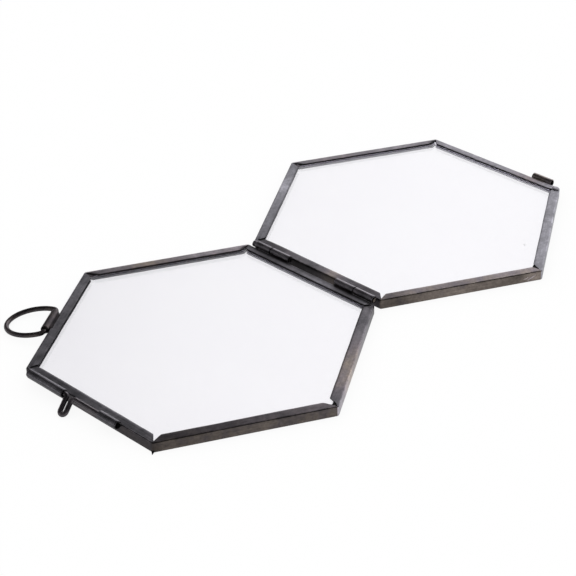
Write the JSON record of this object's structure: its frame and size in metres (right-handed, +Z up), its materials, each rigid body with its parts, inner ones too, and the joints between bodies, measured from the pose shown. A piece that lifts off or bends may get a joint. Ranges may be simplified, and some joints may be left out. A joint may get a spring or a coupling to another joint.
{
  "type": "hanging floating photo frame",
  "caption": "Hexagonal floating photo frame: glass leaves in folded dark metal channel, hinged along a side, with a hanging ring and a sliding wire latch, lying open and flat.",
  "frame": {"origin": "middle of the whole frame's box, on the surface that the open leaves lie on", "axes": "+X from the base leaf to the cover leaf, across the hinge; +Y along the hinge; +Z up, out of the glass"},
  "size_m": [0.2582, 0.1406, 0.0071],
  "materials": {
    "patina_metal": "dark antique patina, brushed along the strip",
    "wire_metal": "dark antique patina, drawn wire",
    "clear_glass": "clear float glass"
  },
  "bodies": {
    "base_leaf": {"base_hinge_channel": "patina_metal", "base_latch_channel": "patina_metal", "base_glass": "clear_glass", "base_knuckle_far": "patina_metal", "base_knuckle_near": "patina_metal", "hinge_pin_far": "wire_metal", "hinge_pin_near": "wire_metal", "ring_barrel": "patina_metal", "latch_tail_barrel": "patina_metal", "latch_head_barrel": "patina_metal"},
    "cover_leaf": {"cover_catch_channel": "patina_metal", "cover_hinge_channel": "patina_metal", "cover_glass": "clear_glass", "cover_knuckle_far": "patina_metal", "cover_knuckle_near": "patina_metal", "catch_barrel": "patina_metal"},
    "ring": {"hanging_ring": "wire_metal"},
    "bolt": {"latch_bolt": "wire_metal"}
  },
  "joints": [
    {"name": "leaf_fold", "type": "hinge", "parent": "base_leaf", "child": "cover_leaf", "pos_m": [0.00247, 0, 0.00465], "axis": [0, -1, 0], "range_deg": [0, 180]},
    {"name": "ring_swing", "type": "hinge", "parent": "base_leaf", "child": "ring", "pos_m": [-0.09314, 0.05254, 0.0041], "axis": [0.866, 0.5, 0], "range_deg": [-80.5, 99.4]},
    {"name": "latch_slide", "type": "slide", "parent": "base_leaf", "child": "bolt", "axis": [0, -1, 0], "range_m": [0, 0.0128]}
  ]
}
